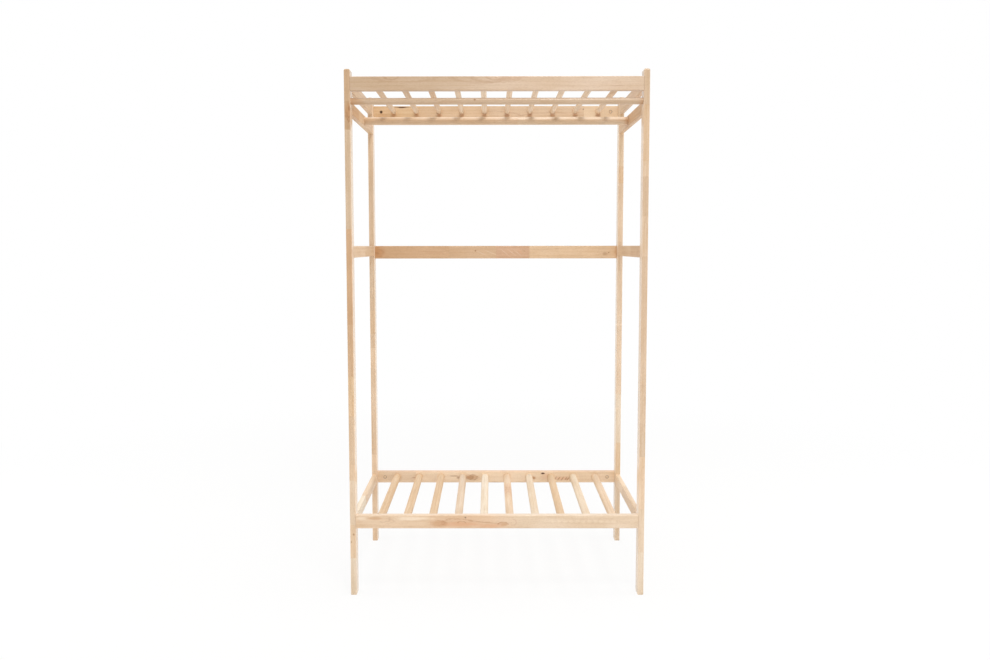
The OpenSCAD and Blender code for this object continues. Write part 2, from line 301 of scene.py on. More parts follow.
def woodMaterial(name, grain, fingers, blocks, roughness, marks=(), face=axisZ, seed=0.0, soft=False):
    look = woodLook
    material, tree = newMaterial(name)
    shader = tree.nodes["Principled BSDF"]
    place = addNode(tree, "ShaderNodeTexCoord").outputs
    parts = addNode(tree, "ShaderNodeSeparateXYZ", {"Vector": place["Object"]}).outputs
    normal = addNode(tree, "ShaderNodeSeparateXYZ", {"Vector": place["Normal"]}).outputs
    along = parts[grain]
    across, through = [parts[axis] for axis in (axisX, axisY, axisZ) if axis != grain]
    tone, strength, index, seam = blockTones(tree, along, parts[fingers], blocks, soft)

    # each block has its own heart, off to one side, and its own stretch of grain
    draw = calc(tree, "ADD", index, seed + look["chanceStart"])
    chance = addNode(tree, "ShaderNodeTexWhiteNoise", {"W": draw}, noise_dimensions="1D").outputs["Color"]
    spread = look["pithSpread"]
    heart = calcVector(tree, "MULTIPLY_ADD", chance, (look["pithShift"], spread, spread),
                       (0.0, -spread / 2, -spread / 2))
    spot = addNode(tree, "ShaderNodeCombineXYZ", {"X": along, "Y": across, "Z": through}).outputs[0]
    bent = calcVector(tree, "ADD", calcVector(tree, "MULTIPLY", spot, (look["ringStretch"], 1.0, 1.0)), heart)
    shifted = calcVector(tree, "ADD", spot, calcVector(tree, "MULTIPLY", chance, look["blockShift"]))

    def grainNoise(kind):
        fineAlong, fineAcross, detail, rough = grainNoises[kind]
        stretched = calcVector(tree, "MULTIPLY", shifted, (fineAlong, fineAcross, fineAcross))
        inputs = {"Vector": stretched, "Scale": 1.0, "Detail": detail, "Roughness": rough}
        return addNode(tree, "ShaderNodeTexNoise", inputs).outputs["Fac"]

    noises = {kind: grainNoise(kind) for kind in grainShares}
    shares = {kind: ease(tree, noises[kind], low, high, 0.0, most)
              for kind, (low, high, most) in grainShares.items()}

    # marks, on crosswise pieces not on the face at the back, and the rings that bend round a knot
    shown = calc(tree, "LESS_THAN", normal[axisY], look["backFacing"]) if grain == axisX else 1.0
    wobble = calc(tree, "MULTIPLY_ADD", grainNoise("wobble"), markWobble, -markWobble / 2) if marks else None
    shades, bend = [], 0.0
    for mark in marks:
        shade, away = drawMark(tree, along, parts[face], wobble, mark)
        shades.append((mark[0], calc(tree, "MULTIPLY", shade, shown)))
        if mark[0] == "knot":
            swell = ease(tree, away, look["knotFrom"], look["knotTo"], look["knotSwell"], 0.0)
            bend = calc(tree, "ADD", bend, swell)

    def growthRings(scale, wander):
        inputs = {"Vector": bent, "Scale": scale, "Distortion": wander, "Phase Offset": bend,
                  **look["ringDetail"]}
        return addNode(tree, "ShaderNodeTexWave", inputs, wave_type="RINGS", rings_direction="X",
                       wave_profile="SIN").outputs["Fac"]

    lateWood = ease(tree, growthRings(look["ringScale"], look["ringWander"]), look["ringFrom"], 1.0)
    bands = ease(tree, growthRings(look["figureScale"], look["figureWander"]), look["figureFrom"], 1.0)

    # how much of the darker grain colour each point takes
    rings = calc(tree, "MULTIPLY", lateWood, look["ringShare"])
    figured = calc(tree, "MULTIPLY", calc(tree, "MULTIPLY_ADD", bands, look["figureShare"], rings), strength)
    share = calc(tree, "ADD", calc(tree, "ADD", figured, shares["streaks"]),
                 calc(tree, "ADD", shares["fibres"], shares["clouds"]))
    layers = blend(tree, "MULTIPLY", calc(tree, "MINIMUM", share, 1.0), tone, look["grainTint"])
    deeper = calc(tree, "MAXIMUM", calc(tree, "SUBTRACT", share, 1.0), 0.0)
    colour = blend(tree, "MULTIPLY", calc(tree, "MINIMUM", deeper, 1.0), layers, look["grainTint"])
    colour = blend(tree, "MIX", shares["pores"], colour, look["poreColour"])
    for kind, shade in shades:
        colour = blend(tree, "MIX", shade, colour, screenColour(*markTones[kind]))
    glued = calc(tree, "MULTIPLY", seam, look["seamDepth"])
    colour = blend(tree, "MULTIPLY", glued, colour, look["grainTint"])
    endGrain = ease(tree, calc(tree, "ABSOLUTE", normal[grain]), look["endFrom"], look["endTo"])
    sawn = calc(tree, "MULTIPLY", endGrain, look["endDepth"])
    colour = blend(tree, "MULTIPLY", sawn, colour, look["endTint"])
    tree.links.new(colour, shader.inputs["Base Color"])

    rough = ease(tree, noises["streaks"], look["glossFrom"], look["glossTo"],
                 roughness - look["smoother"], roughness + look["rougher"])
    tree.links.new(rough, shader.inputs["Roughness"])
    height = calc(tree, "ADD", calc(tree, "MULTIPLY", noises["streaks"], look["streakBump"]),
                  calc(tree, "MULTIPLY", noises["fibres"], look["fibreBump"]))
    height = calc(tree, "SUBTRACT", height, shares["pores"])
    bump = addNode(tree, "ShaderNodeBump", {"Height": height, "Strength": look["bumpStrength"],
                                            "Distance": look["bumpDepth"]})
    tree.links.new(bump.outputs["Normal"], shader.inputs["Normal"])
    shader.inputs["IOR"].default_value = look["ior"]
    return material


# modelling helpers
modelling = {
    "shortest": 0.0001,      # an edge that changes less than this along an axis runs across it
    "facing": 0.9,      # how squarely a face has to face a way to count as its end
    "smoothAngle": math.radians(32),
}


def wakeUp(piece):
    bpy.ops.object.select_all(action="DESELECT")
    piece.select_set(True)
    bpy.context.view_layer.objects.active = piece


def selectEdges(piece, test):
    bpy.ops.mesh.select_mode(type="EDGE")
    bpy.ops.mesh.select_all(action="DESELECT")
    shape = bmesh.from_edit_mesh(piece.data)
    for edge in shape.edges:
        edge.select_set(test(edge.verts[0].co, edge.verts[1].co))
    bmesh.update_edit_mesh(piece.data)


def selectFaces(piece, test):
    bpy.ops.mesh.select_mode(type="FACE")
    bpy.ops.mesh.select_all(action="DESELECT")
    shape = bmesh.from_edit_mesh(piece.data)
    for face in shape.faces:
        face.select_set(test(face.normal))
    bmesh.update_edit_mesh(piece.data)


def addBoard(name, low, high, grain, easing, steps):      # a length of timber, its long edges eased
    bpy.ops.object.select_all(action="DESELECT")
    bpy.ops.mesh.primitive_cube_add(size=1, location=(low + high) / 2)
    piece = bpy.context.object
    piece.name = piece.data.name = name
    piece.scale = high - low
    bpy.ops.object.transform_apply(location=True, rotation=True, scale=True)
    bpy.ops.object.mode_set(mode="EDIT")
    selectEdges(piece, lambda a, b: abs(a[grain] - b[grain]) > modelling["shortest"])
    bpy.ops.mesh.bevel(offset=easing, segments=steps, profile=0.5, affect="EDGES")
    bpy.ops.object.mode_set(mode="OBJECT")
    return piece


def roundEnd(piece, low, high, direction, radius, steps):     # carries an end face on into a rounded end
    middle = (low + high) / 2
    wide, deep = high.x - low.x, high.y - low.y
    bpy.ops.object.mode_set(mode="EDIT")
    selectFaces(piece, lambda normal: normal.z * direction > modelling["facing"])
    inset, height = 0.0, 0.0
    for step in range(1, steps + 1):
        turn = math.pi / 2 * step / steps
        nextInset, nextHeight = radius * (1 - math.cos(turn)), radius * math.sin(turn)
        rise = (0, 0, direction * (nextHeight - height))
        bpy.ops.mesh.extrude_region_move(TRANSFORM_OT_translate={"value": rise})
        bpy.ops.transform.resize(value=((wide - 2 * nextInset) / (wide - 2 * inset),
                                        (deep - 2 * nextInset) / (deep - 2 * inset), 1),
                                 center_override=(middle.x, middle.y, middle.z))
        inset, height = nextInset, nextHeight
    bpy.ops.object.mode_set(mode="OBJECT")


axisTurns = {(axisX, 1): (0, math.pi / 2, 0), (axisX, -1): (0, -math.pi / 2, 0),
             (axisY, 1): (-math.pi / 2, 0, 0), (axisY, -1): (math.pi / 2, 0, 0),
             (axisZ, 1): (0, 0, 0), (axisZ, -1): (math.pi, 0, 0)}


def turnPiece(name, start, axis, direction, profile, sides):      # profile: distance from the start, radius
    bpy.ops.object.select_all(action="DESELECT")
    bpy.ops.mesh.primitive_circle_add(vertices=sides, radius=profile[0][1], fill_type="NGON",
                                      location=(0, 0, 0))
    piece = bpy.context.object
    piece.name = piece.data.name = name
    bpy.ops.object.mode_set(mode="EDIT")
    bpy.ops.mesh.select_all(action="SELECT")
    for (before, old), (after, new) in zip(profile, profile[1:]):
        bpy.ops.mesh.extrude_region_move(TRANSFORM_OT_translate={"value": (0, 0, after - before)})
        bpy.ops.transform.resize(value=(new / old, new / old, 1), center_override=(0, 0, 0))
    bpy.ops.mesh.select_all(action="SELECT")
    bpy.ops.mesh.normals_make_consistent(inside=False)
    bpy.ops.transform.translate(value=(0, 0, profile[0][0]))
    bpy.ops.object.mode_set(mode="OBJECT")
    piece.rotation_euler = axisTurns[(axis, direction)]
    piece.location = start
    bpy.ops.object.transform_apply(location=True, rotation=True, scale=True)
    return piece


def joinPieces(pieces, name):
    bpy.ops.object.select_all(action="DESELECT")
    for piece in pieces:
        piece.select_set(True)
    bpy.context.view_layer.objects.active = pieces[0]
    if len(pieces) > 1:
        bpy.ops.object.join()
    pieces[0].name = pieces[0].data.name = name
    return pieces[0]


def cutAway(piece, cutters):      # bores holes, all of one direction at a time
    cutter = joinPieces(cutters, "drill")
    wakeUp(piece)
    bore = piece.modifiers.new("bore", "BOOLEAN")
    bore.operation, bore.solver, bore.object = "DIFFERENCE", "EXACT", cutter
    bpy.ops.object.modifier_apply(modifier=bore.name)
    mesh = cutter.data
    bpy.data.objects.remove(cutter)
    bpy.data.meshes.remove(mesh)


def copyPiece(piece, name, shift):
    wakeUp(piece)
    bpy.ops.object.duplicate(linked=False)
    twin = bpy.context.object
    twin.name = twin.data.name = name
    bpy.ops.transform.translate(value=shift)
    bpy.ops.object.transform_apply(location=True, rotation=True, scale=True)
    return twin


def finishPiece(piece, node, material):
    wakeUp(piece)
    bpy.ops.object.shade_smooth_by_angle(angle=modelling["smoothAngle"])
    evenUp = piece.modifiers.new("evenUp", "WEIGHTED_NORMAL")
    evenUp.keep_sharp = True
    bpy.ops.object.modifier_apply(modifier=evenUp.name)
    piece.data.materials.clear()
    piece.data.materials.append(material)
    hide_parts(node)
    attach(piece, "root")


def camelName(node):
    first, *others = node.split("_")
    return first + "".join(word.capitalize() for word in others)


def middleOf(node):
    low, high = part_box(node)
    return (low + high) / 2


def radiusOf(node):      # of a rod or bar, which all lie level
    low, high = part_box(node)
    return (high.z - low.z) / 2


# bores that bolts, dowels, nuts, bars and rods sit in
fits = {
    "gap": 0.0001,      # round a glued dowel, bar or rod
    "boltGap": 0.0004,
    "endGap": 0.0005,
    "boltRadius": 0.003,
    "headRadius": 0.007,
    "headPocket": 0.003,
    "pocketEdge": 0.0004,      # eased mouth of a pocket
    "dowelRadius": 0.004,
    "railDowelDrop": 0.013,
    "railDowelInPost": 0.012,
    "sideDowelPitch": 0.016,
    "sideDowelInPost": 0.016,
    "dowelInRail": 0.018,
    "nutInset": 0.030,
    "nutRadius": 0.005,
    "nutHole": 0.015,
    "boltPast": 0.003,
    "barBore": 0.010,
    "mouthEdge": 0.0005,
    "outside": 0.002,      # a drill starts this far outside the wood
    "sides": 40,
}


def drill(start, axis, direction, radius, depth, mouth=0.0):
    if mouth:
        profile = [(-fits["outside"], radius + mouth), (0.0, radius + mouth), (mouth, radius),
                   (depth, radius)]
    else:
        profile = [(-fits["outside"], radius), (depth, radius)]
    return turnPiece("drill", start, axis, direction, profile, fits["sides"])


crossRails = {      # those in front, and those at the back
    True: ["top_front_board", "bottom_front_rail"],
    False: ["top_back_board", "middle_back_rail", "bottom_back_rail"],
}
sideRails = {
    left: ["top_left_side_rail", "left_rod_rail", "middle_left_side_rail", "bottom_left_side_rail"],
    right: ["top_right_side_rail", "right_rod_rail", "middle_right_side_rail", "bottom_right_side_rail"],
}


def sideDowelBores(node, seam, direction, depth):      # a pair, in a side rail's end or in its post
    centre = middleOf(node)
    return [drill((centre.x, seam, centre.z + up * fits["sideDowelPitch"] / 2), axisY, direction,
                  fits["dowelRadius"] + fits["gap"], depth + fits["endGap"]) for up in (-1, 1)]


def rodSocket(rod, face, side):      # a blind socket, from a face that looks at the middle to the rod's end
    low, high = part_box(rod)
    centre = (low + high) / 2
    end = high.x if side == right else low.x
    return drill((face, centre.y, centre.z), axisX, side, radiusOf(rod) + fits["gap"], abs(end - face),
                 fits["mouthEdge"])


postShape = {
    "edge": 0.0025,
    "edgeSteps": 5,
    "topRadius": 0.006,
    "topSteps": 6,
    "footRadius": 0.0015,
    "footSteps": 3,
}


def buildPost(node, side, front, material):
    low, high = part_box(node)
    start, stop = low.copy(), high.copy()
    start.z += postShape["footRadius"]
    stop.z -= postShape["topRadius"]
    post = addBoard(camelName(node), start, stop, axisZ, postShape["edge"], postShape["edgeSteps"])
    roundEnd(post, low, high, 1, postShape["topRadius"], postShape["topSteps"])
    roundEnd(post, low, high, -1, postShape["footRadius"], postShape["footSteps"])
    outer, inner = (high.x, low.x) if side == right else (low.x, high.x)
    headHole = fits["headRadius"] + fits["boltGap"]
    boltHole = fits["boltRadius"] + fits["boltGap"]
    pocket = [(-fits["outside"], headHole + fits["pocketEdge"]), (0.0, headHole + fits["pocketEdge"]),
              (fits["pocketEdge"], headHole), (fits["headPocket"], headHole), (fits["headPocket"], boltHole),
              (abs(outer - inner) + fits["outside"], boltHole)]
    cutters = []
    for rail in crossRails[front]:
        centre = middleOf(rail)
        cutters.append(turnPiece("drill", (outer, centre.y, centre.z), axisX, -side, pocket, fits["sides"]))
        cutters.append(drill((inner, centre.y, centre.z - fits["railDowelDrop"]), axisX, side,
                             fits["dowelRadius"] + fits["gap"], fits["railDowelInPost"] + fits["endGap"]))
    if front:
        cutters.append(rodSocket("curtain_rod", inner, side))
    cutAway(post, cutters)
    seam, direction = (high.y, -1) if front else (low.y, 1)
    cutters = []
    for rail in sideRails[side]:
        cutters += sideDowelBores(rail, seam, direction, fits["sideDowelInPost"])
    cutAway(post, cutters)
    finishPiece(post, node, material)


railShape = {"edge": 0.002, "edgeSteps": 4}


def buildSideRail(node, side, material):
    low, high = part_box(node)
    rail = addBoard(camelName(node), low, high, axisY, railShape["edge"], railShape["edgeSteps"])
    cutters = []
    for seam, direction in ((low.y, 1), (high.y, -1)):
        cutters += sideDowelBores(node, seam, direction, fits["dowelInRail"])
    cutAway(rail, cutters)
    if "rod_rail" in node:
        cutAway(rail, [rodSocket("clothes_rail", low.x if side == right else high.x, side)])
    finishPiece(rail, node, material)


def nutMouth(node):      # the face that a rail's barrel nuts open in, and the way in from it
    low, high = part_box(node)
    return (high.y, -1) if node in crossRails[True] or node == "middle_back_rail" else (low.y, 1)


barCount = 10


def barNodes(shelf):      # of the top or the bottom shelf
    return [f"{shelf}_shelf_bar_{number}" for number in range(1, barCount + 1)]


def buildCrossRail(node, front, material):
    low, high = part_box(node)
    rail = addBoard(camelName(node), low, high, axisX, railShape["edge"], railShape["edgeSteps"])
    centre = (low + high) / 2
    cutters = []
    for seam, direction in ((low.x, 1), (high.x, -1)):
        cutters.append(drill((seam, centre.y, centre.z), axisX, direction,
                             fits["boltRadius"] + fits["boltGap"],
                             fits["nutInset"] + fits["boltPast"] + fits["endGap"]))
        cutters.append(drill((seam, centre.y, centre.z - fits["railDowelDrop"]), axisX, direction,
                             fits["dowelRadius"] + fits["gap"], fits["dowelInRail"] + fits["endGap"]))
    cutAway(rail, cutters)
    cutters = []
    mouth, direction = nutMouth(node)
    for seam, inward in ((low.x, 1), (high.x, -1)):
        cutters.append(drill((seam + inward * fits["nutInset"], mouth, centre.z), axisY, direction,
                             fits["nutRadius"] + fits["gap"], fits["nutHole"], fits["mouthEdge"]))
    if node != "middle_back_rail":
        inside, direction = (high.y, -1) if front else (low.y, 1)
        for bar in barNodes(node.split("_")[0]):
            middle = middleOf(bar)
            cutters.append(drill((middle.x, inside, middle.z), axisY, direction, radiusOf(bar) + fits["gap"],
                                 fits["barBore"] + fits["endGap"], fits["mouthEdge"]))
    cutAway(rail, cutters)
    finishPiece(rail, node, material)


# round rods and bars, turned from square stock and sanded, so never quite even
rodShape = {
    "endEase": 0.0012,
    "stations": 14,
    "unevenness": 0.00012,
    "quickSway": 2.4,
    "slowSway": 0.9,
    "swayStart": 1.0,
    "rodSides": 64,
    "barSides": 48,
}


def rodProfile(length, radius):
    shape = rodShape
    profile = [(0.0, radius - shape["endEase"]), (shape["endEase"], radius)]
    for number in range(1, shape["stations"]):
        quick, slow = number * shape["quickSway"], number * shape["slowSway"] + shape["swayStart"]
        thinner = shape["unevenness"] * (0.5 + 0.5 * (math.sin(quick) * math.sin(slow)))
        profile.append((length * number / shape["stations"], radius - thinner))
    profile += [(length - shape["endEase"], radius), (length, radius - shape["endEase"])]
    return profile


def buildRod(node, axis, sides):
    low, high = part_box(node)
    start = middleOf(node)
    start[axis] = low[axis]
    profile = rodProfile(high[axis] - low[axis], radiusOf(node))
    return turnPiece(camelName(node), start, axis, 1, profile, sides)


# blocks of each piece, as (end of the block along its length, tone, strength of its figure)
# the posts' tones run paler towards the foot: partly the wood's own tone, partly painted light for the
# brighter light low down
postBlocks = {
    "front_left_post": [
        (0.130, "husk", 0.5), (0.245, "cream", 0.4), (0.400, "shell", 0.4), (0.455, "blush", 0.4),
        (0.538, "biscuit", 0.4), (0.620, "oat", 0.3), (0.690, "peach", 0.4), (0.755, "wheat", 0.7),
        (0.930, "honey", 0.4), (1.247, "rust", 0.4), (1.572, "clay", 0.5), (1.664, "rye", 0.6),
        (1.800, "rye", 0.2)],
    "front_right_post": [
        (0.150, "husk", 0.2), (0.300, "shell", 0.2), (0.480, "blush", 0.3), (0.566, "clay", 0.6),
        (1.155, "tan", 0.4), (1.288, "oat", 0.4), (1.418, "tan", 0.5), (1.470, "biscuit", 0.6),
        (1.652, "straw", 0.3), (1.800, "tan", 0.4)],
    "rear_left_post": [
        (0.355, "blush", 0.4), (0.712, "biscuit", 0.6), (0.785, "blush", 0.4), (0.842, "oat", 0.4),
        (0.935, "straw", 0.4), (1.215, "oat", 0.6), (1.800, "oat", 0.4)],
    "rear_right_post": [
        (0.250, "shell", 0.4), (0.402, "linen", 0.5), (0.600, "husk", 0.3), (0.850, "biscuit", 0.2),
        (0.866, "oat", 0.4), (1.090, "biscuit", 0.2), (1.435, "biscuit", 0.4), (1.500, "peach", 0.4),
        (1.800, "linen", 0.5)],
}
sideRailBlocks = {
    "top_left_side_rail": [(0.05, "straw", 0.4), (0.30, "biscuit", 0.4)],
    "left_rod_rail": [(-0.08, "rust", 0.5), (0.30, "straw", 0.4)],
    "middle_left_side_rail": [(0.02, "blush", 0.8), (0.30, "straw", 0.4)],
    "bottom_left_side_rail": [(-0.04, "chalk", 0.4), (0.30, "cream", 0.5)],
    "top_right_side_rail": [(0.00, "rosy", 0.4), (0.30, "biscuit", 0.4)],
    "right_rod_rail": [(0.10, "honey", 0.6), (0.30, "straw", 0.4)],
    "middle_right_side_rail": [(-0.05, "honey", 0.6), (0.30, "straw", 0.3)],
    "bottom_right_side_rail": [(0.07, "cream", 0.4), (0.30, "milk", 0.3)],
}
crossRailBlocks = {
    # the fascia's blocks run from darker at the left to paler at the right: partly the wood's tone, partly
    # painted light from the right
    "top_front_board": [(-0.48, "dusk", 0.5), (-0.20, "dusk", 0.5), (0.12, "fawn", 0.3), (0.48, "fawn", 0.3)],
    "top_back_board": [(-0.31, "corn", 0.5), (-0.03, "straw", 0.4), (0.34, "oat", 0.5), (0.50, "linen", 0.4)],
    "middle_back_rail": [
        (-0.191, "rust", 0.3), (-0.004, "honey", 0.3), (0.128, "salmon", 0.5), (0.50, "peach", 0.4)],
    "bottom_front_rail": [
        (-0.48, "blush", 0.5), (-0.2260, "blush", 0.5), (-0.2258, "rosy", 0.3), (-0.02, "rosy", 0.3),
        (0.08, "shell", 0.3), (0.48, "shell", 0.3)],
    # the bottom back rail's pale blocks are partly the wood's tone, partly painted light standing in for the
    # floor's bounce and front fill
    "bottom_back_rail": [
        (-0.33, "cream", 0.4), (-0.15, "milk", 0.4), (0.176, "milk", 0.3), (0.228, "milk", 0.4),
        (0.50, "milk", 0.5)],
}
rodBlocks = {
    "curtain_rod": [(-0.18, "dusk", 0.5), (0.14, "dusk", 0.4), (0.50, "dusk", 0.5)],
    "clothes_rail": [(-0.26, "tan", 0.5), (0.08, "tan", 0.4), (0.50, "clay", 0.5)],
}
barTones = {
    "top": ["oat", "rye", "honey", "shell", "pearl", "cream", "shell", "shell", "shell", "honey"],
    "bottom": ["wheat", "wheat", "wheat", "shell", "ivory", "cream", "pearl", "wheat", "pearl", "cream"],
}
barLook = {"end": 0.25, "figure": 0.6, "topBack": "cream"}      # the top bars turn paler towards the back: painted light, standing in for brighter light on their back ends and the fascia's shade on their fronts
dowelBlocks = [(0.6, "tan", 0.5)]

